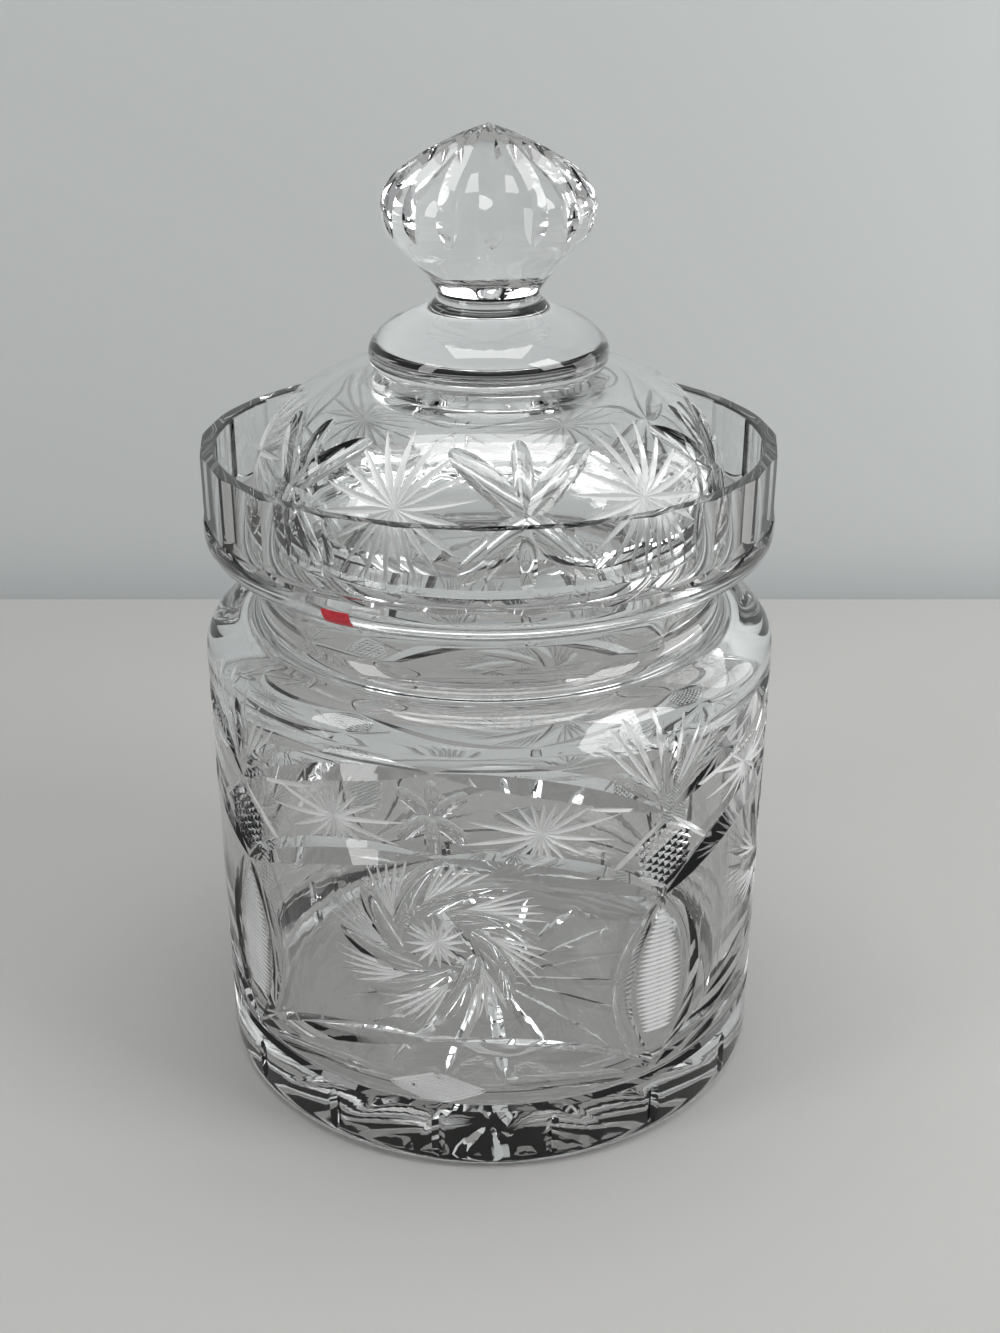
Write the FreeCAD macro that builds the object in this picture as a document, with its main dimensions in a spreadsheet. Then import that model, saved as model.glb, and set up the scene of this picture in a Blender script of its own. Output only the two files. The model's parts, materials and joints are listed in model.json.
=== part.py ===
"""A cut-crystal biscuit jar with a flared gallery collar, its lift-off lid and a small blank label.

Millimetres, +Z up, origin at the centre of the face that the jar stands on.
The collar is one piece of glass with the body. The lid is one piece with its bulb and knob.
"""
import FreeCAD, Part
import os
import math

import Sketcher

# Driving dimensions, in millimetres (counts and angles where the name says so).
DIMENSIONS = {
    # body of the jar
    "body_radius": 70.0,
    "wall": 6.5,
    "foot_round": 3.0,
    "floor_height": 12.0,
    "floor_round": 12.0,
    "body_height": 119.5,
    "shoulder_round": 8.0,
    "inner_shoulder_height": 113.0,
    "inner_shoulder_round": 10.0,
    # neck between the shoulder and the collar
    "neck_radius": 55.5,
    "neck_round": 6.0,
    "mouth_radius": 48.5,
    "mouth_round": 2.0,
    "mouth_flare": 4.0,
    # gallery collar round the lid
    "collar_base_height": 136.0,
    "collar_radius": 68.5,
    "collar_round": 6.0,
    "collar_wall": 4.0,
    "ledge_height": 142.0,
    "ledge_round": 2.5,
    "rim_height": 161.6,
    "rim_round": 0.8,
    # flat panels cut round the outside of the collar
    "panel_count": 24,
    "panel_distance": 67.7,
    "panel_depth": 4.0,
    "panel_half_width": 9.2,
    "panel_end_height": 144.0,
    "panel_end_rise": 2.3,
    "panel_end_radius": 19.5,
    "panel_overrun": 1.0,
    # dome of the lid
    "lid_radius": 56.5,
    "lid_foot_round": 0.6,
    "dome_start_height": 149.5,
    "dome_radius": 27.8,
    "lid_wall": 4.5,
    "flange_radius": 47.9,
    "flange_inner_radius": 44.5,
    "flange_drop": 3.5,
    "flange_inner_height": 144.0,
    # bulb under the knob
    "bulb_foot_radius": 25.2,
    "bulb_edge_round": 5.0,
    "bulb_edge_radius": 27.4,
    "bulb_edge_height": 184.2,
    "bulb_crown_round": 12.0,
    "bulb_crown_radius": 19.6,
    "bulb_crown_height": 189.9,
    "bulb_top_radius": 13.2,
    "bulb_top_height": 193.2,
    # waist and knob
    "waist_round": 2.6,
    "waist_radius": 11.7,
    "waist_height": 195.4,
    "knob_foot_radius": 12.3,
    "knob_foot_height": 196.9,
    "knob_swell_radius": 21.2,
    "knob_swell_height": 205.7,
    "knob_round": 11.3,
    "knob_crown_radius": 20.3,
    "knob_crown_height": 222.4,
    "knob_cap_radius": 9.0,
    "knob_cap_height": 228.8,
    "total_height": 232.3,
    # blank label on the round under the collar's panels
    "label_thickness": 0.15,
    "label_low_angle": 52.0,
    "label_high_angle": 9.0,
    "label_span_angle": 5.8,
    "label_azimuth": -28.0,
}

SHEET = "dims"
OUTPUT_FOLDER = "parts"
PLAIN_SIGNS = ("+", "-")
FRONT_ANGLE = -90.0


def add_sheet(doc):
    """Write every driving dimension into the sheet, its name beside it as the cell's alias."""
    sheet = doc.addObject("Spreadsheet::Sheet", SHEET)
    for row, (name, value) in enumerate(DIMENSIONS.items(), start=1):
        sheet.set("A%d" % row, name)
        sheet.set("B%d" % row, str(value))
        sheet.setAlias("B%d" % row, name)
    doc.recompute()
    return sheet


def measure(words):
    """Turn words such as "body_radius - wall" into a value in mm and an expression on the sheet."""
    value = 0.0
    sign = 1.0
    parts = []
    for word in words.split():
        if word in PLAIN_SIGNS:
            sign = -1.0 if word == "-" else 1.0
            parts.append(word)
        else:
            value += sign * DIMENSIONS[word]
            parts.append(SHEET + "." + word)
    return value, " ".join(parts)


def bind(item, path, words):
    """Bind one property or constraint to a sum of the sheet's dimensions."""
    item.setExpression(path, measure(words)[1])


def plane_of(body, role):
    """Find one of a body's own origin planes or axes."""
    for feature in body.Origin.OriginFeatures:
        if feature.Role == role:
            return feature
    raise ValueError("no origin feature " + role)


def new_sketch(body, name, role):
    """Start a sketch on one of the body's origin planes."""
    sketch = body.newObject("Sketcher::SketchObject", name)
    sketch.AttachmentSupport = (plane_of(body, role), [""])
    sketch.MapMode = "FlatFace"
    return sketch


def arc_between(start, end, radius, left):
    """An arc from start to end, and whether it runs counter-clockwise from start.

    left says that the arc turns to the left on the way from start to end.
    """
    chord = end - start
    half = chord.Length / 2.0
    rise = math.sqrt(max(radius * radius - half * half, 0.0))
    side = FreeCAD.Vector(-chord.y, chord.x, 0).normalize()
    middle = (start + end) * 0.5
    centre = middle + side * (rise if left else -rise)
    first, last = (start, end) if left else (end, start)
    low = math.atan2(first.y - centre.y, first.x - centre.x)
    high = math.atan2(last.y - centre.y, last.x - centre.x)
    if high < low:
        high += 2.0 * math.pi
    circle = Part.Circle(centre, FreeCAD.Vector(0, 0, 1), radius)
    return Part.ArcOfCircle(circle, low, high)


def draw_outline(sketch, corners):
    """Draw a closed outline whose every corner and radius is bound to the sheet.

    Each corner is (across, up, edge): the words for its place, and the edge that leaves it,
    "line", or ("left" or "right", radius words) for an arc that turns that way.
    """
    points = []
    for across, up, _ in corners:
        across_value = 0.0 if across == "axis" else measure(across)[0]
        up_value = 0.0 if up == "ground" else measure(up)[0]
        points.append(FreeCAD.Vector(across_value, up_value, 0))
    starts = []
    ends = []
    for index, (_, _, edge) in enumerate(corners):
        start = points[index]
        end = points[(index + 1) % len(points)]
        if edge == "line":
            shape = sketch.addGeometry(Part.LineSegment(start, end), False)
            starts.append((shape, 1))
            ends.append((shape, 2))
        else:
            left = edge[0] == "left"
            radius = measure(edge[1])[0]
            shape = sketch.addGeometry(arc_between(start, end, radius, left), False)
            starts.append((shape, 1 if left else 2))
            ends.append((shape, 2 if left else 1))
            place = sketch.addConstraint(Sketcher.Constraint("Radius", shape, radius))
            bind(sketch, "Constraints[%d]" % place, edge[1])
    for index in range(len(corners)):
        joined = ends[index - 1]
        here = starts[index]
        sketch.addConstraint(Sketcher.Constraint("Coincident", joined[0], joined[1], here[0], here[1]))
    for index, (across, up, _) in enumerate(corners):
        shape, end = starts[index]
        corner = points[index]
        for kind, words, value in (("DistanceX", across, corner.x), ("DistanceY", up, corner.y)):
            place = sketch.addConstraint(Sketcher.Constraint(kind, -1, 1, shape, end, value))
            if words not in ("axis", "ground"):
                bind(sketch, "Constraints[%d]" % place, words)


def revolve(body, name, sketch):
    """Turn an outline round the vertical axis of its sketch."""
    solid = body.newObject("PartDesign::Revolution", name)
    solid.Profile = sketch
    solid.ReferenceAxis = (sketch, ["V_Axis"])
    solid.Angle = 360.0
    return solid


def cut_panels(doc, body):
    """Cut the flat upright panels round the outside of the collar."""
    before = body.Shape.Volume
    sketch = new_sketch(body, "panel_sketch", "XZ_Plane")
    bind(sketch, "AttachmentOffset.Base.z", "panel_distance")
    half = measure("panel_half_width")[0]
    low = measure("panel_end_height + panel_end_rise")[0]
    high = measure("rim_height + panel_overrun")[0]
    end_radius = measure("panel_end_radius")[0]
    low_left, low_right = FreeCAD.Vector(-half, low, 0), FreeCAD.Vector(half, low, 0)
    high_left, high_right = FreeCAD.Vector(-half, high, 0), FreeCAD.Vector(half, high, 0)
    sketch.addGeometry(arc_between(low_left, low_right, end_radius, True), False)
    for start, end in ((low_right, high_right), (high_right, high_left), (high_left, low_left)):
        sketch.addGeometry(Part.LineSegment(start, end), False)
    for first, second in ((0, 1), (1, 2), (2, 3)):
        sketch.addConstraint(Sketcher.Constraint("Coincident", first, 2, second, 1))
    sketch.addConstraint(Sketcher.Constraint("Coincident", 3, 2, 0, 1))
    sketch.addConstraint(Sketcher.Constraint("Vertical", 1))
    sketch.addConstraint(Sketcher.Constraint("Vertical", 3))
    sketch.addConstraint(Sketcher.Constraint("Horizontal", 2))
    sketch.addConstraint(Sketcher.Constraint("Symmetric", 0, 1, 0, 2, -2))
    for kind, end, words in (
            ("DistanceX", 1, "panel_half_width"),
            ("DistanceY", 1, "panel_end_height + panel_end_rise"),
            ("DistanceY", 2, "rim_height + panel_overrun")):
        place = sketch.addConstraint(Sketcher.Constraint(kind, -1, 1, 1, end, measure(words)[0]))
        bind(sketch, "Constraints[%d]" % place, words)
    place = sketch.addConstraint(Sketcher.Constraint("Radius", 0, end_radius))
    bind(sketch, "Constraints[%d]" % place, "panel_end_radius")
    doc.recompute()
    panel = body.newObject("PartDesign::Pocket", "panel")
    panel.Profile = sketch
    panel.Reversed = True
    bind(panel, "Length", "panel_depth")
    doc.recompute()
    pattern = body.newObject("PartDesign::PolarPattern", "panels")
    pattern.Originals = [panel]
    pattern.Axis = (plane_of(body, "Z_Axis"), [""])
    pattern.Angle = 360.0
    bind(pattern, "Occurrences", "panel_count")
    body.Tip = pattern
    doc.recompute()
    if body.Shape.Volume >= before:
        raise ValueError("the panels cut nothing")


def make_jar(doc):
    """The jar: body, shoulder, neck and gallery collar in one piece of glass."""
    body = doc.addObject("PartDesign::Body", "jar")
    sketch = new_sketch(body, "jar_outline", "XZ_Plane")
    draw_outline(sketch, [
        ("axis", "ground", "line"),
        ("body_radius - foot_round", "ground", ("left", "foot_round")),
        ("body_radius", "foot_round", "line"),
        ("body_radius", "body_height - shoulder_round", ("left", "shoulder_round")),
        ("body_radius - shoulder_round", "body_height", "line"),
        ("neck_radius + neck_round", "body_height", ("right", "neck_round")),
        ("neck_radius", "body_height + neck_round", "line"),
        ("neck_radius", "collar_base_height - neck_round", ("right", "neck_round")),
        ("neck_radius + neck_round", "collar_base_height", "line"),
        ("collar_radius - collar_round", "collar_base_height", ("left", "collar_round")),
        ("collar_radius", "collar_base_height + collar_round", "line"),
        ("collar_radius", "rim_height - rim_round", ("left", "rim_round")),
        ("collar_radius - rim_round", "rim_height", "line"),
        ("collar_radius - collar_wall + rim_round", "rim_height", ("left", "rim_round")),
        ("collar_radius - collar_wall", "rim_height - rim_round", "line"),
        ("collar_radius - collar_wall", "ledge_height + ledge_round", ("right", "ledge_round")),
        ("collar_radius - collar_wall - ledge_round", "ledge_height", "line"),
        ("mouth_radius + mouth_round", "ledge_height", ("left", "mouth_round")),
        ("mouth_radius", "ledge_height - mouth_round", "line"),
        ("mouth_radius", "inner_shoulder_height + mouth_flare", ("left", "mouth_flare")),
        ("mouth_radius + mouth_flare", "inner_shoulder_height", "line"),
        ("body_radius - wall - inner_shoulder_round", "inner_shoulder_height",
         ("right", "inner_shoulder_round")),
        ("body_radius - wall", "inner_shoulder_height - inner_shoulder_round", "line"),
        ("body_radius - wall", "floor_height + floor_round", ("right", "floor_round")),
        ("body_radius - wall - floor_round", "floor_height", "line"),
        ("axis", "floor_height", "line"),
    ])
    revolve(body, "jar_glass", sketch)
    doc.recompute()
    cut_panels(doc, body)
    return body


def make_lid(doc):
    """The lid: hollow dome with a locating flange, solid bulb, waist and knob."""
    body = doc.addObject("PartDesign::Body", "lid")
    sketch = new_sketch(body, "lid_outline", "XZ_Plane")
    draw_outline(sketch, [
        ("flange_inner_radius", "ledge_height - flange_drop", "line"),
        ("flange_radius", "ledge_height - flange_drop", "line"),
        ("flange_radius", "ledge_height", "line"),
        ("lid_radius - lid_foot_round", "ledge_height", ("left", "lid_foot_round")),
        ("lid_radius", "ledge_height + lid_foot_round", "line"),
        ("lid_radius", "dome_start_height", ("left", "dome_radius")),
        ("lid_radius - dome_radius", "dome_start_height + dome_radius", "line"),
        ("bulb_foot_radius", "dome_start_height + dome_radius", ("left", "bulb_edge_round")),
        ("bulb_edge_radius", "bulb_edge_height", ("left", "bulb_crown_round")),
        ("bulb_crown_radius", "bulb_crown_height", "line"),
        ("bulb_top_radius", "bulb_top_height", ("right", "waist_round")),
        ("waist_radius", "waist_height", "line"),
        ("waist_radius", "knob_foot_height", "line"),
        ("knob_foot_radius", "knob_foot_height", "line"),
        ("knob_swell_radius", "knob_swell_height", ("left", "knob_round")),
        ("knob_crown_radius", "knob_crown_height", "line"),
        ("knob_cap_radius", "knob_cap_height", "line"),
        ("axis", "total_height", "line"),
        ("axis", "dome_start_height + dome_radius - lid_wall", "line"),
        ("lid_radius - dome_radius", "dome_start_height + dome_radius - lid_wall",
         ("right", "dome_radius - lid_wall")),
        ("lid_radius - lid_wall", "dome_start_height", "line"),
        ("flange_inner_radius", "flange_inner_height", "line"),
    ])
    revolve(body, "lid_glass", sketch)
    return body


def make_label(doc):
    """The blank label: a thin film on the round below the collar's panels."""
    body = doc.addObject("PartDesign::Body", "label")
    sketch = new_sketch(body, "label_section", "XZ_Plane")
    centre_across = measure("collar_radius - collar_round")[0]
    centre_up = measure("collar_base_height + collar_round")[0]
    inner = measure("collar_round")[0]
    outer = measure("collar_round + label_thickness")[0]
    low = -math.radians(DIMENSIONS["label_low_angle"])
    high = -math.radians(DIMENSIONS["label_high_angle"])
    centre = FreeCAD.Vector(centre_across, centre_up, 0)
    normal = FreeCAD.Vector(0, 0, 1)

    def at(radius, angle):
        return centre + FreeCAD.Vector(radius * math.cos(angle), radius * math.sin(angle), 0)

    sketch.addGeometry(Part.ArcOfCircle(Part.Circle(centre, normal, inner), low, high), False)
    sketch.addGeometry(Part.ArcOfCircle(Part.Circle(centre, normal, outer), low, high), False)
    sketch.addGeometry(Part.LineSegment(at(inner, low), at(outer, low)), False)
    sketch.addGeometry(Part.LineSegment(at(inner, high), at(outer, high)), False)
    sketch.addConstraint(Sketcher.Constraint("Coincident", 0, 3, 1, 3))
    sketch.addConstraint(Sketcher.Constraint("Coincident", 0, 1, 2, 1))
    sketch.addConstraint(Sketcher.Constraint("Coincident", 1, 1, 2, 2))
    sketch.addConstraint(Sketcher.Constraint("Coincident", 0, 2, 3, 1))
    sketch.addConstraint(Sketcher.Constraint("Coincident", 1, 2, 3, 2))
    for kind, value, words in (
            ("DistanceX", centre_across, "collar_radius - collar_round"),
            ("DistanceY", centre_up, "collar_base_height + collar_round")):
        place = sketch.addConstraint(Sketcher.Constraint(kind, -1, 1, 0, 3, value))
        bind(sketch, "Constraints[%d]" % place, words)
    for shape, radius, words in ((0, inner, "collar_round"), (1, outer, "collar_round + label_thickness")):
        place = sketch.addConstraint(Sketcher.Constraint("Radius", shape, radius))
        bind(sketch, "Constraints[%d]" % place, words)
    for line, angle, name in ((2, low, "label_low_angle"), (3, high, "label_high_angle")):
        sketch.addConstraint(Sketcher.Constraint("PointOnObject", 0, 3, line))
        place = sketch.addConstraint(Sketcher.Constraint("Angle", -1, 1, line, 1, angle))
        sketch.setExpression("Constraints[%d]" % place, "-%s.%s * 1 deg" % (SHEET, name))
    film = body.newObject("PartDesign::Revolution", "label_film")
    film.Profile = sketch
    film.ReferenceAxis = (sketch, ["V_Axis"])
    film.setExpression("Angle", "%s.label_span_angle * 1 deg" % SHEET)
    film.Midplane = True
    turn = FreeCAD.Rotation(FreeCAD.Vector(0, 0, 1), FRONT_ANGLE + DIMENSIONS["label_azimuth"])
    body.Placement = FreeCAD.Placement(FreeCAD.Vector(0, 0, 0), turn)
    return body


def check(doc, bodies):
    """Stop on a failed object, and on a sub-part whose shape is missing or unsound."""
    for item in doc.Objects:
        if "Invalid" in item.State or "Error" in item.State:
            raise ValueError("object failed: " + item.Name)
    for body in bodies:
        if body.Shape.isNull() or not body.Shape.isValid() or len(body.Shape.Solids) != 1:
            raise ValueError("unsound shape: " + body.Label)


def main():
    doc = FreeCAD.newDocument("biscuit_jar")
    add_sheet(doc)
    bodies = [make_jar(doc), make_lid(doc), make_label(doc)]
    doc.recompute()
    check(doc, bodies)
    os.makedirs(OUTPUT_FOLDER, exist_ok=True)
    for body in bodies:
        body.Shape.exportStep(os.path.join(OUTPUT_FOLDER, body.Label + ".step"))
        box = body.Shape.BoundBox
        print("%s: %.1f x %.1f x %.1f mm, %.1f cm3" % (
            body.Label, box.XLength, box.YLength, box.ZLength, body.Shape.Volume / 1000.0))


main()
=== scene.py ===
import json
import math
import bpy
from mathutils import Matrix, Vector

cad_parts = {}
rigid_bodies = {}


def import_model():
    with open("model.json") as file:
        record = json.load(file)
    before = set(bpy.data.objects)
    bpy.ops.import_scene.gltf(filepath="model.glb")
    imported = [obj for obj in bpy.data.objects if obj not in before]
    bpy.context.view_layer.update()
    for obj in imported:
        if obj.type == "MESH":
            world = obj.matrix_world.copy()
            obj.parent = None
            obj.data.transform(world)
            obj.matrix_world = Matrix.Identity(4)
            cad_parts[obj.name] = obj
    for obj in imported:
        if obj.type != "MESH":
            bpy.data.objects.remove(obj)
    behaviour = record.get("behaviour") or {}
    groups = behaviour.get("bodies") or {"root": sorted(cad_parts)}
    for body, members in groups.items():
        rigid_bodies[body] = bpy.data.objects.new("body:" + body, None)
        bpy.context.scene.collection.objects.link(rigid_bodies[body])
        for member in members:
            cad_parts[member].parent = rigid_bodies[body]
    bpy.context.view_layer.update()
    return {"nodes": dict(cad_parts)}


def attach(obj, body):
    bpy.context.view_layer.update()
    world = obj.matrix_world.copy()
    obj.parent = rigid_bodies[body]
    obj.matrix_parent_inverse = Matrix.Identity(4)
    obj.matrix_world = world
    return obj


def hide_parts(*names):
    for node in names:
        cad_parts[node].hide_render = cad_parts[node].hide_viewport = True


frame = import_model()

MM = 0.001
WHOLE_TURN = 2.0 * math.pi
CLEAR = 0
GROUND = 1

# The body of the jar, in millimetres, as the frame has it.
BODY_RADIUS = 70.0
BODY_TOP = 119.5
SHOULDER_ROUND = 8.0
WALL = 6.5
FLOOR = 12.0
FLOOR_ROUND = 12.0
FOOT_ROUND = 3.0
INNER_SHOULDER = 113.0
INNER_SHOULDER_ROUND = 10.0
NECK_RADIUS = 55.5
NECK_ROUND = 6.0
MOUTH_RADIUS = 48.5
MOUTH_ROUND = 2.0
MOUTH_FLARE = 4.0
FOOT_RING = 61.0
FOOT_RECESS = 0.5
FOOT_RING_SLOPE = 4.0
FOOT_CUTS = 16
FOOT_LINE = 18.4
FOOT_LINE_DEPTH = 0.9
FOOT_LINE_HALF_WIDTH = 1.3
UNDERSIDE_RAYS = 18
UNDERSIDE_TURN = 5.0

# The gallery collar.
COLLAR_RADIUS = 68.5
COLLAR_WALL = 4.0
COLLAR_BASE = 136.0
COLLAR_ROUND = 6.0
LEDGE = 142.0
LEDGE_ROUND = 2.5
RIM = 161.6
RIM_ROUND = 0.8
PANELS = 24
PANEL_DISTANCE = 67.7
PANEL_HALF_WIDTH = 9.6
PANEL_END = 144.0
PANEL_END_RISE = 2.3
PANEL_END_SLOPE = 2.6
PANEL_PARTS = 8
CUTTER_REACH = 2.0

# The lid.
LID_RADIUS = 56.5
LID_FOOT_ROUND = 0.6
LID_WALL = 4.5
SEAT_GAP = 0.15
DOME_START = 149.5
DOME_RADIUS = 27.8
FLANGE_RADIUS = 47.9
FLANGE_INNER = 44.5
FLANGE_DROP = 3.5
FLANGE_INNER_HEIGHT = 144.0
TOP = 232.3
FLUTES = 16
FLUTE_DEPTH = 1.25
FLUTE_WIDTH = 5.6
FLUTE_START = 2.5
FLUTE_END = 209.0
FLUTE_FADE = 6.0
FLUTE_ROUNDNESS = 1.2
FLUTE_OVERLAP = 1.35
FLUTE_RINGS = 28
FLUTE_SIDES = 6

# How finely round stretches are drawn.
ARC_STEP = math.radians(9.0)
DOME_STEP = math.radians(5.0)
SPIN_STEPS = 192
EDGE_ANGLE = math.radians(13.0)
WELD = 0.000002

# The four repeats of the cut ornament, as degrees round from the front towards +X.
PEAK = -10.0
VALLEY = 35.0
REPEATS = 4
QUARTER = 360.0 / REPEATS

# The dome's ornament: a flower and a star in turn, as degrees round and height on the drawing.
DOME_REPEATS = 6
DOME_PITCH = 360.0 / DOME_REPEATS
FLOWER_START = 8.6
FLOWER_HEIGHT = 160.0
STAR_START = 38.6
STAR_HEIGHT = 160.5

# Petals, each as its direction in degrees, length, width and depth.
SMALL_FLOWER = (
    (90.0, 9.0, 3.2, 1.1),
    (270.0, 9.5, 3.6, 1.2),
    (38.0, 10.0, 3.8, 1.2),
    (142.0, 10.0, 3.8, 1.2),
    (322.0, 10.0, 4.0, 1.3),
    (218.0, 10.0, 4.0, 1.3),
)
DOME_FLOWER = (
    (90.0, 17.5, 4.6, 1.2),
    (45.0, 21.0, 6.6, 1.7),
    (135.0, 21.0, 6.6, 1.7),
    (225.0, 20.0, 6.6, 1.7),
    (315.0, 20.0, 6.6, 1.7),
    (270.0, 16.5, 4.4, 1.2),
)

# The glass and the film.
CRYSTAL_IOR = 1.545
GROUND_ROUGHNESS = 0.4
GROUND_CLEARNESS = 0.55
FILM_ROUGHNESS = 0.35


def deselect():
    """Leave nothing selected, so that an operator acts only on the piece in hand."""
    for item in bpy.context.view_layer.objects:
        item.select_set(False)


def choose(piece):
    """Select one piece and make it active."""
    deselect()
    piece.select_set(True)
    bpy.context.view_layer.objects.active = piece


def arc_to(outline, across, up, radius, left, step=ARC_STEP):
    """Add an arc from the outline's last point, turning left or right, in steps of one angle."""
    start = Vector(outline[-1])
    end = Vector((across, up))
    chord = end - start
    half = chord.length / 2.0
    rise = math.sqrt(max(radius * radius - half * half, 0.0))
    side = Vector((-chord.y, chord.x)).normalized()
    centre = (start + end) / 2.0 + side * (rise if left else -rise)
    first = math.atan2(start.y - centre.y, start.x - centre.x)
    last = math.atan2(end.y - centre.y, end.x - centre.x)
    if left and last < first:
        last += WHOLE_TURN
    if not left and last > first:
        last -= WHOLE_TURN
    steps = max(2, math.ceil(abs(last - first) / step))
    for index in range(1, steps):
        angle = first + (last - first) * index / steps
        outline.append((centre.x + radius * math.cos(angle), centre.y + radius * math.sin(angle)))
    outline.append((across, up))


def smooth_through(points, per_span=6):
    """A smooth run of points through a few given ones, for the bulb and knob."""
    run = []
    for index in range(len(points) - 1):
        before = Vector(points[max(index - 1, 0)])
        start = Vector(points[index])
        end = Vector(points[index + 1])
        after = Vector(points[min(index + 2, len(points) - 1)])
        leave = (end - before) / 2.0 if index else (end - start)
        arrive = (after - start) / 2.0 if index + 2 < len(points) else (end - start)
        for part in range(per_span):
            t = part / per_span
            place = ((2 * t ** 3 - 3 * t ** 2 + 1) * start + (t ** 3 - 2 * t ** 2 + t) * leave
                     + (3 * t ** 2 - 2 * t ** 3) * end + (t ** 3 - t ** 2) * arrive)
            run.append((place.x, place.y))
    run.append(points[-1])
    return run


def spin_up(name, outline, steps=SPIN_STEPS):
    """Draw an outline as a wire and spin it round the upright axis into a closed piece."""
    deselect()
    bpy.ops.mesh.primitive_circle_add(vertices=len(outline), radius=1.0)
    piece = bpy.context.active_object
    piece.name = name
    piece.data.name = name
    for point, (across, up) in zip(piece.data.vertices, outline):
        point.co = (across * MM, 0.0, up * MM)
    bpy.ops.object.mode_set(mode="EDIT")
    bpy.ops.mesh.select_all(action="SELECT")
    bpy.ops.mesh.spin(steps=steps, angle=WHOLE_TURN, center=(0, 0, 0), axis=(0, 0, 1))
    bpy.ops.mesh.select_all(action="SELECT")
    bpy.ops.mesh.remove_doubles(threshold=WELD)
    bpy.ops.mesh.delete_loose(use_verts=True, use_edges=True, use_faces=False)
    bpy.ops.mesh.select_all(action="SELECT")
    bpy.ops.mesh.normals_make_consistent(inside=False)
    bpy.ops.object.mode_set(mode="OBJECT")
    return piece


class Skin:
    """An outside surface unrolled flat: across is measured round the jar, up along the outline."""

    def __init__(self, outline, base):
        self.points = [Vector(point) for point in outline]
        self.runs = [base]
        for before, here in zip(self.points, self.points[1:]):
            self.runs.append(self.runs[-1] + (here - before).length)

    def at(self, up):
        """The radius, height and outward direction of the surface at a distance up it."""
        last = len(self.points) - 2
        index = 0
        while index < last and up > self.runs[index + 1]:
            index += 1
        start, end = self.points[index], self.points[index + 1]
        share = (up - self.runs[index]) / (self.runs[index + 1] - self.runs[index])
        place = start + (end - start) * share
        along = (end - start).normalized()
        return place, Vector((along.y, -along.x))

    def wrap(self, azimuth, across, up, lift):
        """Put a point of the flat drawing on the surface, lifted off it along its direction."""
        place, outward = self.at(up)
        angle = math.radians(azimuth - 90.0) + across / place.x
        radius = place.x + outward.x * lift
        height = place.y + outward.y * lift
        return (radius * math.cos(angle) * MM, radius * math.sin(angle) * MM, height * MM)


class Underside:
    """The flat underside, drawn in polar fashion round its centre."""

    def wrap(self, azimuth, across, up, lift):
        angle = math.radians(azimuth - 90.0)
        x = up * math.cos(angle) - across * math.sin(angle)
        y = up * math.sin(angle) + across * math.cos(angle)
        return (x * MM, y * MM, (FOOT_RECESS - lift) * MM)


def mitre(width, depth, top):
    """The edge of a V-shaped wheel: its tip at zero, its flanks as wide as the cut asks."""
    reach = width / 2.0 * (1.0 + top / depth)
    return [(-reach, depth + top), (0.0, 0.0), (reach, depth + top)]


def olive(width, depth, top):
    """The edge of a round wheel, which leaves a hollow with a curved section."""
    radius = (width * width / 4.0 + depth * depth) / (2.0 * depth)
    reach = math.acos(max(1.0 - (depth + top) / radius, 0.1))
    half = math.ceil(reach / ARC_STEP)
    section = []
    for index in range(-half, half + 1):
        angle = reach * index / half
        section.append((radius * math.sin(angle), radius * (1.0 - math.cos(angle))))
    return section


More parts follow.
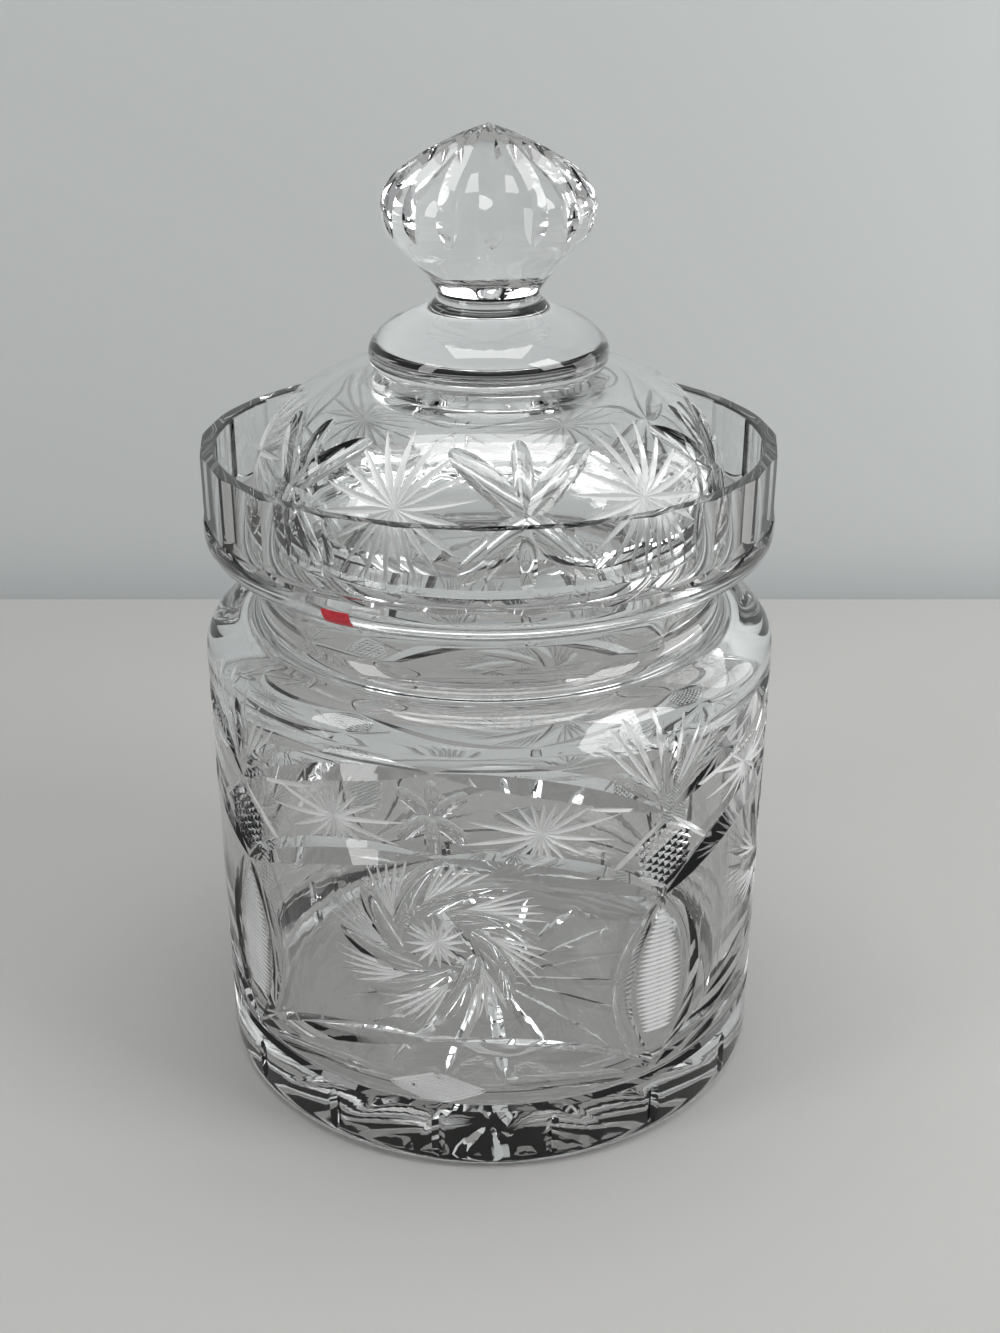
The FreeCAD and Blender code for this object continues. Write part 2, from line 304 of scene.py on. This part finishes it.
class Cuts:
    """Wheel cuts for one piece, sorted into waves in which no two cuts meet."""

    def __init__(self, cell=1.2):
        self.cell = cell
        self.waves = []

    def add(self, points, rings, material):
        """Take one closed cutter, made of rings of points, all with as many points."""
        size = len(points) // rings
        faces = []
        for ring in range(rings - 1):
            here, there = ring * size, (ring + 1) * size
            for index in range(size):
                follow = (index + 1) % size
                faces.append((here + index, here + follow, there + follow, there + index))
        faces.append(tuple(reversed(range(size))))
        faces.append(tuple(range((rings - 1) * size, rings * size)))
        cells = self.touched(points, rings, size)
        for taken, wave in self.waves:
            if taken.isdisjoint(cells):
                break
        else:
            taken, wave = set(), []
            self.waves.append((taken, wave))
        taken.update(cells)
        wave.append((points, faces, material))

    def touched(self, points, rings, size):
        """The cells of space that a cutter passes through, with their neighbours."""
        reach = self.cell * MM
        cells = set()
        for ring in range(rings - 1):
            for index in range(size):
                for other in range(index, size):
                    near_left = Vector(points[ring * size + index])
                    near_right = Vector(points[ring * size + other])
                    far_left = Vector(points[(ring + 1) * size + index])
                    far_right = Vector(points[(ring + 1) * size + other])
                    along = max((far_left - near_left).length, (far_right - near_right).length)
                    wide = max((near_right - near_left).length, (far_right - far_left).length)
                    steps_along = max(1, math.ceil(along / reach))
                    steps_wide = max(1, math.ceil(wide / reach))
                    for a in range(steps_along + 1):
                        for b in range(steps_wide + 1):
                            left = near_left.lerp(far_left, a / steps_along)
                            right = near_right.lerp(far_right, a / steps_along)
                            place = left.lerp(right, b / steps_wide) / reach
                            cells.add((round(place.x), round(place.y), round(place.z)))
        grown = set()
        for x, y, z in cells:
            for dx in (-1, 0, 1):
                for dy in (-1, 0, 1):
                    for dz in (-1, 0, 1):
                        grown.add((x + dx, y + dy, z + dz))
        return grown

    def stroke(self, skin, azimuth, start, end, width, depth, bow=0.0, section=mitre, material=CLEAR,
               rings=8, fullness=2.0, top=0.4, overrun=0.06):
        """Grind one groove from start to end on the flat drawing, bowed sideways if asked.

        fullness 2 is the lens-shaped cut of a wheel that dips once, and more keeps its width longer.
        """
        start, end = Vector(start), Vector(end)
        along = (end - start).normalized()
        aside = Vector((along.y, -along.x))
        edge = section(width, depth, top)
        points = []
        for ring in range(rings + 1):
            u = (2.0 * ring / rings - 1.0) * (1.0 + overrun)
            centre = start.lerp(end, (u + 1.0) / 2.0) + aside * bow * (1.0 - u * u)
            lean = along + aside * (-4.0 * bow * u / (end - start).length)
            cross = Vector((lean.y, -lean.x)).normalized()
            drop = depth * (1.0 - abs(u) ** fullness)
            for across, rise in edge:
                place = centre + cross * across
                points.append(skin.wrap(azimuth, place.x, place.y, rise - drop))
        self.add(points, rings + 1, material)

    def grind(self, piece):
        """Take every wave of cuts out of a piece."""
        for taken, wave in self.waves:
            points, faces, materials = [], [], []
            for cutter_points, cutter_faces, material in wave:
                first = len(points)
                points.extend(cutter_points)
                faces.extend(tuple(first + index for index in face) for face in cutter_faces)
                materials.extend([material] * len(cutter_faces))
            mesh = bpy.data.meshes.new("wheel")
            mesh.from_pydata(points, [], faces)
            wheel = bpy.data.objects.new("wheel", mesh)
            bpy.context.collection.objects.link(wheel)
            for material in piece.data.materials:
                mesh.materials.append(material)
            mesh.polygons.foreach_set("material_index", materials)
            choose(wheel)
            bpy.ops.object.mode_set(mode="EDIT")
            bpy.ops.mesh.select_all(action="SELECT")
            bpy.ops.mesh.normals_make_consistent(inside=False)
            bpy.ops.object.mode_set(mode="OBJECT")
            choose(piece)
            cut = piece.modifiers.new("cut", "BOOLEAN")
            cut.operation = "DIFFERENCE"
            cut.solver = "MANIFOLD"
            cut.object = wheel
            bpy.ops.object.modifier_apply(modifier=cut.name)
            bpy.data.objects.remove(wheel)
            bpy.data.meshes.remove(mesh)


def finish_glass(piece):
    """Shade the polished faces smooth and keep every ground edge crisp."""
    choose(piece)
    bpy.ops.object.shade_smooth_by_angle(angle=EDGE_ANGLE)


# The materials: clear glass, ground glass and the label's film.

def grained(name, dark, light, grain, relief, strength):
    """A material whose colour drifts between two tints and whose surface has a fine relief."""
    material = bpy.data.materials.new(name)
    material.use_nodes = True
    nodes = material.node_tree.nodes
    links = material.node_tree.links
    shader = nodes["Principled BSDF"]
    place = nodes.new("ShaderNodeTexCoord")
    noise = nodes.new("ShaderNodeTexNoise")
    noise.inputs["Scale"].default_value = grain
    noise.inputs["Detail"].default_value = 2.0
    tint = nodes.new("ShaderNodeValToRGB")
    tint.color_ramp.elements[0].position = 0.35
    tint.color_ramp.elements[0].color = dark
    tint.color_ramp.elements[1].position = 0.65
    tint.color_ramp.elements[1].color = light
    bump = nodes.new("ShaderNodeBump")
    bump.inputs["Strength"].default_value = strength
    bump.inputs["Distance"].default_value = relief
    links.new(place.outputs["Object"], noise.inputs["Vector"])
    links.new(noise.outputs["Fac"], tint.inputs["Fac"])
    links.new(tint.outputs["Color"], shader.inputs["Base Color"])
    links.new(noise.outputs["Fac"], bump.inputs["Height"])
    links.new(bump.outputs["Normal"], shader.inputs["Normal"])
    return material, shader


def polished_crystal():
    """Clear lead crystal, with the faint waviness of a blown and hand-polished surface."""
    dark = (0.978, 0.986, 0.984, 1.0)
    light = (0.992, 0.996, 0.995, 1.0)
    material, shader = grained("polished_crystal", dark, light, grain=28.0, relief=0.0002, strength=0.2)
    shader.inputs["Roughness"].default_value = 0.0
    shader.inputs["IOR"].default_value = CRYSTAL_IOR
    shader.inputs["Transmission Weight"].default_value = 1.0
    return material


def ground_crystal():
    """The soft white that a fine wheel leaves where it isn't polished afterwards."""
    dark = (0.9, 0.905, 0.9, 1.0)
    light = (0.96, 0.965, 0.96, 1.0)
    material, shader = grained("ground_crystal", dark, light, grain=2400.0, relief=0.00004, strength=0.4)
    shader.inputs["Roughness"].default_value = GROUND_ROUGHNESS
    shader.inputs["IOR"].default_value = CRYSTAL_IOR
    shader.inputs["Transmission Weight"].default_value = GROUND_CLEARNESS
    return material


clear_glass = polished_crystal()
ground_glass = ground_crystal()


# The jar's own cuts.

def wall_outline():
    """The outside of the wall and the start of the shoulder, as the unrolled drawing has it."""
    outline = [(BODY_RADIUS, 0.0), (BODY_RADIUS, BODY_TOP - SHOULDER_ROUND)]
    arc_to(outline, BODY_RADIUS - SHOULDER_ROUND, BODY_TOP, SHOULDER_ROUND, True)
    outline.append((NECK_RADIUS + NECK_ROUND, BODY_TOP))
    return outline


def star(cuts, skin, azimuth, centre, lines, reach, width, depth, squash=1.0, turn=0.0, material=GROUND):
    """A star of fine cuts that all cross at its centre; each cut makes two rays."""
    for index in range(lines):
        angle = math.pi * index / lines + turn
        ray = Vector((math.cos(angle), math.sin(angle)))
        length = reach / math.sqrt(ray.x ** 2 + (ray.y / squash) ** 2)
        middle = Vector(centre)
        cuts.stroke(skin, azimuth, middle - ray * length, middle + ray * length, width, depth,
                    material=material, rings=8, fullness=3.0, top=0.3)


def flower(cuts, skin, azimuth, centre, petals):
    """A flower of broad hollow cuts: each petal is (direction in degrees, length, width, depth)."""
    for direction, length, width, depth in petals:
        angle = math.radians(direction)
        ray = Vector((math.cos(angle), math.sin(angle)))
        middle = Vector(centre)
        cuts.stroke(skin, azimuth, middle + ray * 0.4, middle + ray * length, width, depth, section=olive,
                    rings=10, fullness=2.4)


def draw_jar(cuts):
    """All the ornament of the jar, sector by sector."""
    skin = Skin(wall_outline(), 0.0)
    half = math.radians(QUARTER / 2.0) * BODY_RADIUS
    for repeat in range(REPEATS):
        peak = PEAK + QUARTER * repeat
        valley = VALLEY + QUARTER * repeat

        # The two long double lines, from the valley up to the peak on either side.
        for valley_height, peak_height in ((91.0, 107.0), (69.0, 86.0)):
            for side in (-1.0, 1.0):
                cuts.stroke(skin, valley, (0.0, valley_height), (side * half, peak_height), 7.0, 1.7,
                            bow=-side * 4.5, rings=14, fullness=3.0)

        # A small flower at the peak, between the lines.
        flower(cuts, skin, peak, (0.0, 96.5), SMALL_FLOWER)

        # Fine stars on either side of it.
        for side in (-1.0, 1.0):
            star(cuts, skin, peak, (side * 24.0, 92.0), 9, 19.0, 1.25, 0.45, squash=0.42, turn=0.12)

        fan(cuts, skin, valley)
        diamonds(cuts, skin, valley)
        oval(cuts, skin, valley)
        pinwheel(cuts, skin, peak)
        lower_band(cuts, skin, peak, half)

    foot_cuts(cuts, skin)
    underside = Underside()
    for index in range(UNDERSIDE_RAYS):
        angle = 360.0 / UNDERSIDE_RAYS * index + UNDERSIDE_TURN
        cuts.stroke(underside, angle, (0.0, 3.0), (0.0, 44.0), 3.4, 1.5, rings=6, fullness=4.0, top=0.6)


def fan(cuts, skin, valley):
    """Fine rays with three leaves among them, rising over the valley from one point."""
    root = Vector((0.0, 92.5))
    for degrees in (12, 20, 28, 48, 56, 64, 80, 100, 116, 124, 132, 152, 160, 168):
        angle = math.radians(degrees)
        ray = Vector((math.cos(angle), math.sin(angle)))
        length = 24.0 + 3.0 * math.cos(3.0 * angle)
        cuts.stroke(skin, valley, root + ray * 5.0, root + ray * length, 1.3, 0.45,
                    material=GROUND, rings=5, top=0.3)
    for degrees in (38.0, 90.0, 142.0):
        angle = math.radians(degrees)
        ray = Vector((math.cos(angle), math.sin(angle)))
        cuts.stroke(skin, valley, root + ray * 3.0, root + ray * 19.0, 4.8, 1.1, section=olive, rings=10)


def diamonds(cuts, skin, valley):
    """Crossed mitre lines between the long lines, which leave small points standing."""
    centre = Vector((0.0, 80.0))
    for lean in (-1.0, 1.0):
        along = Vector((0.88, 0.48 * lean)).normalized()
        aside = Vector((-along.y, along.x))
        for index in range(-4, 5):
            middle = centre + aside * (index * 1.75)
            length = 9.6 - abs(index) * 1.0
            cuts.stroke(skin, valley, middle - along * length, middle + along * length, 1.7, 0.6,
                        rings=5, fullness=6.0, top=0.3)
    for side in (-1.0, 1.0):
        cuts.stroke(skin, valley, (side * 1.0, 90.0), (side * 17.0, 77.0), 1.6, 0.6, rings=6,
                    material=GROUND, top=0.3)


def oval(cuts, skin, valley):
    """A pointed oval of fine level lines between two hollow side cuts."""
    low, high = 21.0, 69.0
    width, depth, bow, offset = 5.2, 1.1, 10.2, 0.6
    wheel = (width * width / 4.0 + depth * depth) / (2.0 * depth)
    lines = 27
    for index in range(lines):
        share = 2.0 * (index + 0.5) / lines - 1.0
        up = 48.5 + share * 17.0
        u = (up - (low + high) / 2.0) / ((high - low) / 2.0)
        drop = depth * (1.0 - abs(u) ** 3.0)
        half_cut = math.sqrt(max(2.0 * wheel * drop - drop * drop, 0.0))
        reach = offset + bow * (1.0 - u * u) - half_cut * 1.08 - 0.5
        if reach > 1.2:
            cuts.stroke(skin, valley, (-reach, up + reach * 0.1), (reach, up - reach * 0.1), 1.1, 0.4,
                        material=GROUND, rings=4, fullness=8.0, top=0.25, overrun=0.03)
    for side in (-1.0, 1.0):
        cuts.stroke(skin, valley, (side * offset, low), (side * offset, high), width, depth, bow=side * bow,
                    section=olive, rings=18, fullness=3.0)


def pinwheel(cuts, skin, peak):
    """Eight swirling leaves round a fine star, with a fan of fine rays in each gap."""
    hub = Vector((0.5, 64.0))

    def spot(radius, degrees):
        angle = math.radians(degrees)
        return hub + Vector((math.cos(angle) * radius, math.sin(angle) * radius * 0.88))

    star(cuts, skin, peak, hub, 8, 7.6, 1.25, 0.45, squash=0.92, turn=0.12)
    for index in range(8):
        tip = 45.0 * index
        cuts.stroke(skin, peak, spot(9.0, tip + 72.0), spot(23.5, tip), 5.0, 1.15, bow=-1.9, rings=12,
                    section=olive, fullness=2.4)
        for number in range(5):
            cuts.stroke(skin, peak, spot(11.5, tip + 60.0), spot(26.0, tip + 13.5 + 6.2 * number), 0.95, 0.36,
                        bow=-0.3, material=GROUND, rings=6, top=0.25)


def lower_band(cuts, skin, peak, half):
    """The arched lower line, and the lens of hatching and leaves under it."""
    for side in (-1.0, 1.0):
        cuts.stroke(skin, peak, (side * half, 21.0), (0.0, 37.0), 6.4, 1.6, bow=side * 4.0,
                    rings=14, fullness=3.0)
        cuts.stroke(skin, peak, (side * half * 0.86, 21.5), (side * 15.5, 26.0), 4.4, 1.0, bow=side * 0.8,
                    section=olive, rings=10)
    half_width, half_height, lines = 12.0, 4.4, 11
    for lean in (-1.0, 1.0):
        side_a = Vector((half_width, half_height * lean))
        side_b = Vector((half_width, -half_height * lean))
        for index in range(lines + 1):
            start = Vector((-half_width, 23.4)) + side_b * (index / lines)
            cuts.stroke(skin, peak, start, start + side_a, 0.85, 0.32, material=GROUND, rings=6, fullness=8.0,
                        top=0.25, overrun=0.03)


def foot_cuts(cuts, skin):
    """The short upright cuts below the foot's level line."""
    for index in range(FOOT_CUTS):
        cuts.stroke(skin, PEAK + 360.0 / FOOT_CUTS * index, (0.0, 2.0), (0.0, 16.0), 3.2, 1.0,
                    rings=5, fullness=6.0, overrun=0.12)


def panel_cutters(cuts):
    """The flat upright panels round the collar, each with a scalloped end."""
    out = COLLAR_RADIUS + CUTTER_REACH
    high = RIM + CUTTER_REACH / 2.0
    for index in range(PANELS):
        azimuth = math.radians(360.0 / PANELS * (index + 0.5) - 90.0)
        outward = Vector((math.cos(azimuth), math.sin(azimuth), 0.0))
        aside = Vector((-outward.y, outward.x, 0.0))
        rings = []
        for part in range(PANEL_PARTS + 1):
            share = 2.0 * part / PANEL_PARTS - 1.0
            low = PANEL_END + PANEL_END_RISE * share * share
            flat = aside * (PANEL_HALF_WIDTH * share)
            slope = low - PANEL_END_SLOPE
            for distance, up in ((PANEL_DISTANCE, low), (PANEL_DISTANCE, high), (out, high), (out, slope)):
                place = outward * distance + flat
                rings.append((place.x * MM, place.y * MM, up * MM))
        cuts.add(rings, PANEL_PARTS + 1, CLEAR)


def jar_outline():
    """Half the section of the jar, from the middle of its underside round to its floor."""
    outline = [(0.0, FOOT_RECESS), (FOOT_RING - FOOT_RING_SLOPE, FOOT_RECESS), (FOOT_RING, 0.0)]
    outline.append((BODY_RADIUS - FOOT_ROUND, 0.0))
    arc_to(outline, BODY_RADIUS, FOOT_ROUND, FOOT_ROUND, True)
    outline.append((BODY_RADIUS, FOOT_LINE - FOOT_LINE_HALF_WIDTH))
    outline.append((BODY_RADIUS - FOOT_LINE_DEPTH, FOOT_LINE))
    outline.append((BODY_RADIUS, FOOT_LINE + FOOT_LINE_HALF_WIDTH))
    outline.append((BODY_RADIUS, BODY_TOP - SHOULDER_ROUND))
    arc_to(outline, BODY_RADIUS - SHOULDER_ROUND, BODY_TOP, SHOULDER_ROUND, True)
    outline.append((NECK_RADIUS + NECK_ROUND, BODY_TOP))
    arc_to(outline, NECK_RADIUS, BODY_TOP + NECK_ROUND, NECK_ROUND, False)
    outline.append((NECK_RADIUS, COLLAR_BASE - NECK_ROUND))
    arc_to(outline, NECK_RADIUS + NECK_ROUND, COLLAR_BASE, NECK_ROUND, False)
    outline.append((COLLAR_RADIUS - COLLAR_ROUND, COLLAR_BASE))
    arc_to(outline, COLLAR_RADIUS, COLLAR_BASE + COLLAR_ROUND, COLLAR_ROUND, True)
    outline.append((COLLAR_RADIUS, RIM - RIM_ROUND))
    arc_to(outline, COLLAR_RADIUS - RIM_ROUND, RIM, RIM_ROUND, True)
    inner = COLLAR_RADIUS - COLLAR_WALL
    outline.append((inner + RIM_ROUND, RIM))
    arc_to(outline, inner, RIM - RIM_ROUND, RIM_ROUND, True)
    outline.append((inner, LEDGE + LEDGE_ROUND))
    arc_to(outline, inner - LEDGE_ROUND, LEDGE, LEDGE_ROUND, False)
    outline.append((MOUTH_RADIUS + MOUTH_ROUND, LEDGE))
    arc_to(outline, MOUTH_RADIUS, LEDGE - MOUTH_ROUND, MOUTH_ROUND, True)
    outline.append((MOUTH_RADIUS, INNER_SHOULDER + MOUTH_FLARE))
    arc_to(outline, MOUTH_RADIUS + MOUTH_FLARE, INNER_SHOULDER, MOUTH_FLARE, True)
    bore = BODY_RADIUS - WALL
    outline.append((bore - INNER_SHOULDER_ROUND, INNER_SHOULDER))
    arc_to(outline, bore, INNER_SHOULDER - INNER_SHOULDER_ROUND, INNER_SHOULDER_ROUND, False)
    outline.append((bore, FLOOR + FLOOR_ROUND))
    arc_to(outline, bore - FLOOR_ROUND, FLOOR, FLOOR_ROUND, False)
    outline.append((0.0, FLOOR))
    return outline


def crystal_piece(name, outline):
    """An uncut piece of crystal, with the clear glass first and the ground glass second."""
    piece = spin_up(name, outline)
    piece.data.materials.append(clear_glass)
    piece.data.materials.append(ground_glass)
    return piece


def make_jar():
    """The whole jar, cut and put in the place of its plain solid."""
    jar = crystal_piece("crystal_jar", jar_outline())
    cuts = Cuts()
    panel_cutters(cuts)
    draw_jar(cuts)
    cuts.grind(jar)
    finish_glass(jar)
    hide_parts("jar")
    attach(jar, "jar_body")


# The lid.

DOME_TOP = DOME_START + DOME_RADIUS
BULB_TO_KNOB = (
    (25.2, DOME_TOP), (27.4, 179.2), (28.1, 181.7), (27.4, 184.2), (25.4, 186.6), (22.6, 188.7),
    (19.4, 190.2), (16.0, 191.6), (13.3, 193.1), (12.0, 194.5), (11.7, 195.9))
KNOB = (
    (12.3, 196.7), (14.4, 199.6), (17.6, 202.9), (21.3, 206.4), (23.6, 209.8), (24.5, 213.8), (23.7, 218.0),
    (21.2, 221.4), (17.8, 224.0), (13.4, 226.6), (8.6, 229.0), (4.2, 230.9), (0.6, 232.1))


def dome_outline():
    """The outside of the dome from its foot to the bulb."""
    outline = [(LID_RADIUS, LEDGE + LID_FOOT_ROUND), (LID_RADIUS, DOME_START)]
    arc_to(outline, LID_RADIUS - DOME_RADIUS, DOME_TOP, DOME_RADIUS, True, DOME_STEP)
    outline.append((BULB_TO_KNOB[0][0], DOME_TOP))
    return outline


def lid_outline():
    """Half the section of the lid, from its flange up to the knob's point and down its hollow."""
    seat = LEDGE + SEAT_GAP
    outline = [(FLANGE_INNER, LEDGE - FLANGE_DROP), (FLANGE_RADIUS, LEDGE - FLANGE_DROP)]
    outline.extend([(FLANGE_RADIUS, seat), (LID_RADIUS - LID_FOOT_ROUND, seat)])
    arc_to(outline, LID_RADIUS, seat + LID_FOOT_ROUND, LID_FOOT_ROUND, True)
    outline.extend(dome_outline()[1:-1])
    outline.extend(smooth_through(BULB_TO_KNOB, 4))
    outline.extend(smooth_through(KNOB, 4))
    outline.append((0.0, TOP))
    outline.append((0.0, DOME_TOP - LID_WALL))
    outline.append((LID_RADIUS - DOME_RADIUS, DOME_TOP - LID_WALL))
    arc_to(outline, LID_RADIUS - LID_WALL, DOME_START, DOME_RADIUS - LID_WALL, False, DOME_STEP)
    outline.append((FLANGE_INNER, FLANGE_INNER_HEIGHT))
    return outline


def knob_flutes(cuts):
    """Narrow flutes down the knob from its point, each ending in a point above the knob's foot."""
    profile = smooth_through(KNOB, 4)
    profile.reverse()
    skin = Skin(profile, 0.0)
    tip_run = next(run for run, point in zip(skin.runs, profile) if point[1] < FLUTE_END)
    half_pitch = math.pi / FLUTES
    first_run, last_run = 0.2, tip_run + 0.8
    for number in range(FLUTES):
        azimuth = FLUTE_START + 360.0 / FLUTES * number
        points = []
        for ring in range(FLUTE_RINGS + 1):
            run = first_run + (last_run - first_run) * ring / FLUTE_RINGS
            place, inward = skin.at(run)
            half_width = min(FLUTE_WIDTH / 2.0, half_pitch * place.x)
            depth = FLUTE_DEPTH * (2.0 * half_width / FLUTE_WIDTH) ** 1.5
            fade = max(0.0, 1.0 - (tip_run - run) / FLUTE_FADE)
            drop = depth * (1.0 - fade * fade)
            for index in range(-FLUTE_SIDES, FLUTE_SIDES + 1):
                share = index / FLUTE_SIDES * FLUTE_OVERLAP
                lift = depth * abs(share) ** FLUTE_ROUNDNESS - drop
                radius = place.x - inward.x * lift
                height = place.y - inward.y * lift
                angle = math.radians(azimuth - 90.0) + half_width / place.x * share
                points.append((radius * math.cos(angle) * MM, radius * math.sin(angle) * MM, height * MM))
        cuts.add(points, FLUTE_RINGS + 1, CLEAR)


def make_lid():
    """The whole lid, cut and put in the place of its plain solid."""
    lid = crystal_piece("crystal_lid", lid_outline())
    cuts = Cuts()
    skin = Skin(dome_outline(), LEDGE + LID_FOOT_ROUND)
    for index in range(DOME_REPEATS):
        round_by = DOME_PITCH * index
        flower(cuts, skin, FLOWER_START + round_by, (0.0, FLOWER_HEIGHT), DOME_FLOWER)
        star(cuts, skin, STAR_START + round_by, (0.0, STAR_HEIGHT), 9, 18.5, 1.6, 0.55, turn=0.17)
    knob_flutes(cuts)
    cuts.grind(lid)
    finish_glass(lid)
    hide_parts("lid")
    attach(lid, "lid_body")


make_jar()
make_lid()


# The label.

def colour_label():
    """Make the small blank film on the collar's lower round red."""
    dark = (0.5, 0.008, 0.022, 1.0)
    light = (0.66, 0.014, 0.035, 1.0)
    material, shader = grained("label_red", dark, light, grain=900.0, relief=0.00003, strength=0.3)
    shader.inputs["Roughness"].default_value = FILM_ROUGHNESS
    film = frame["nodes"]["label"]
    film.data.materials.clear()
    film.data.materials.append(material)


colour_label()


# The studio: floor, backdrop, lights and camera.

BACK_EDGE = 0.292
FLOOR_SIZE = (2.4, 1.6)
FLOOR_HEIGHT = -0.0002
BACKDROP_SIZE = (3.0, 1.6)
BACKDROP_GAP = 0.02
BACKDROP_HEIGHT = 0.6
SEEN_GLOW = 0.65
AIM = (0.0, 0.0, 0.1)
FOCUS_PIXELS = 1630.0
PICTURE_HEIGHT = 1333.0
SENSOR = 36.0
CAMERA_PLACE = (2.6, -375.9, 272.6)
CAMERA_PITCH = 24.58


def plain(name, colour, painted_light_through_glass=0.0):
    """A matt surface; the last argument is the share by which it glows in its own colour where it is seen
    through glass: painted light standing in for the light that the glass lets through onto it.
    """
    material = bpy.data.materials.new(name)
    material.use_nodes = True
    nodes = material.node_tree.nodes
    links = material.node_tree.links
    shader = nodes["Principled BSDF"]
    shader.inputs["Base Color"].default_value = colour
    shader.inputs["Roughness"].default_value = 0.6
    shader.inputs["Specular IOR Level"].default_value = 0.2
    # Seen through glass, the surface glows in its own colour: painted light where the glass's own shadow
    # falls.
    path = nodes.new("ShaderNodeLightPath")
    glow = nodes.new("ShaderNodeEmission")
    glow.inputs["Color"].default_value = colour
    glow.inputs["Strength"].default_value = SEEN_GLOW
    share = nodes.new("ShaderNodeMath")
    share.operation = "MULTIPLY"
    share.inputs[1].default_value = painted_light_through_glass
    blend = nodes.new("ShaderNodeMixShader")
    links.new(path.outputs["Is Transmission Ray"], share.inputs[0])
    links.new(share.outputs["Value"], blend.inputs["Fac"])
    links.new(shader.outputs["BSDF"], blend.inputs[1])
    links.new(glow.outputs["Emission"], blend.inputs[2])
    links.new(blend.outputs["Shader"], nodes["Material Output"].inputs["Surface"])
    return material


def card(name, size, place, turn, material):
    """A flat sheet of the studio, which isn't part of the object."""
    deselect()
    bpy.ops.mesh.primitive_plane_add(size=1.0, location=place, rotation=turn)
    sheet = bpy.context.active_object
    sheet.name = name
    sheet.scale = (size[0], size[1], 1.0)
    sheet.data.materials.append(material)


def lamp(name, place, aim, size, power):
    """A soft rectangular lamp at a place, facing the point that it is aimed at."""
    data = bpy.data.lights.new(name, "AREA")
    data.shape = "RECTANGLE"
    data.size, data.size_y = size
    data.energy = power
    light = bpy.data.objects.new(name, data)
    bpy.context.collection.objects.link(light)
    light.location = place
    light.rotation_euler = (Vector(aim) - Vector(place)).to_track_quat("-Z", "Y").to_euler()


# The floor glows where it is seen through the jar: painted light in place of the light the glass would pass
# into its shadow.
floor_pale = plain("floor_pale", (0.36, 0.355, 0.345, 1.0), painted_light_through_glass=0.7)
backdrop_pale = plain("backdrop_pale", (0.5, 0.52, 0.515, 1.0))
card("floor", FLOOR_SIZE, (0.0, BACK_EDGE - FLOOR_SIZE[1] / 2.0, FLOOR_HEIGHT), (0.0, 0.0, 0.0), floor_pale)
card("backdrop", BACKDROP_SIZE, (0.0, BACK_EDGE + BACKDROP_GAP, BACKDROP_HEIGHT),
     (math.radians(90.0), 0.0, 0.0), backdrop_pale)
lamp("window", (0.75, -0.35, 0.75), AIM, (0.4, 0.6), 5.2)
lamp("fill", (-0.9, -0.5, 0.6), AIM, (0.3, 0.7), 3.5)
lamp("side_card", (0.55, 0.12, 0.2), AIM, (0.3, 0.35), 0.8)
lamp("overhead", (0.0, 0.0, 1.3), (0.0, 0.0, 0.0), (0.9, 0.6), 8.0)

# The room's light rises from a soft grey below to a paler grey overhead.
world = bpy.data.worlds.new("studio")
bpy.context.scene.world = world
world.use_nodes = True
nodes = world.node_tree.nodes
links = world.node_tree.links
direction = nodes.new("ShaderNodeTexCoord")
height = nodes.new("ShaderNodeSeparateXYZ")
sky = nodes.new("ShaderNodeValToRGB")
sky.color_ramp.elements[0].position = 0.42
sky.color_ramp.elements[0].color = (0.2, 0.2, 0.205, 1.0)
sky.color_ramp.elements[1].position = 0.95
sky.color_ramp.elements[1].color = (0.62, 0.63, 0.64, 1.0)
spread = nodes.new("ShaderNodeMapRange")
spread.inputs["From Min"].default_value = -1.0
links.new(direction.outputs["Generated"], height.inputs["Vector"])
links.new(height.outputs["Z"], spread.inputs["Value"])
links.new(spread.outputs["Result"], sky.inputs["Fac"])
links.new(sky.outputs["Color"], nodes["Background"].inputs["Color"])

camera_data = bpy.data.cameras.new("camera")
camera_data.lens = SENSOR * FOCUS_PIXELS / PICTURE_HEIGHT
camera_data.sensor_width = SENSOR
camera = bpy.data.objects.new("camera", camera_data)
bpy.context.collection.objects.link(camera)
camera.location = Vector(CAMERA_PLACE) * MM
camera.rotation_euler = (math.radians(90.0 - CAMERA_PITCH), 0.0, 0.0)
bpy.context.scene.camera = camera
bpy.context.scene.view_settings.view_transform = "Standard"
